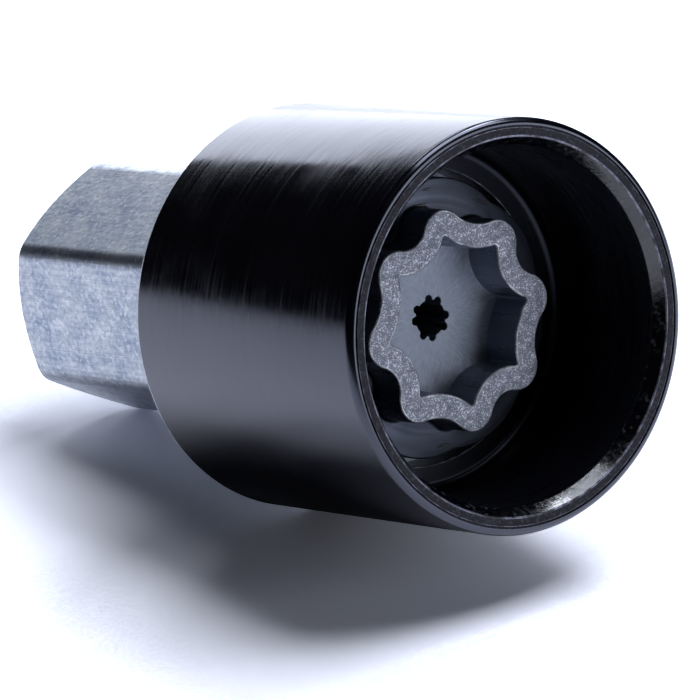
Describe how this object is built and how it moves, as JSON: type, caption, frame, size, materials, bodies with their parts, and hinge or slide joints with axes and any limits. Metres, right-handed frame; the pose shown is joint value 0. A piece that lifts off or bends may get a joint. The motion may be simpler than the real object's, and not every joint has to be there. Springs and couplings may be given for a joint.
{
  "type": "locking wheel nut key",
  "caption": "Wheel nut key: an open sleeve round a standing wavy ring with a coded hole, on a hexagon drive.",
  "frame": {"origin": "centre of the hexagon's end face, on which the key stands", "axes": "+Z along the key's axis from the hexagon to the sleeve's open mouth, +X square to a flat of the hexagon"},
  "size_m": [0.033, 0.033, 0.0567],
  "materials": {
    "black_sleeve": "gloss black, turned and blackened steel",
    "plated_body": "zinc-plated steel, satin, with a blasted face on the wavy ring"
  },
  "bodies": {
    "root": {"sleeve": "black_sleeve", "key_body": "plated_body"}
  },
  "joints": []
}
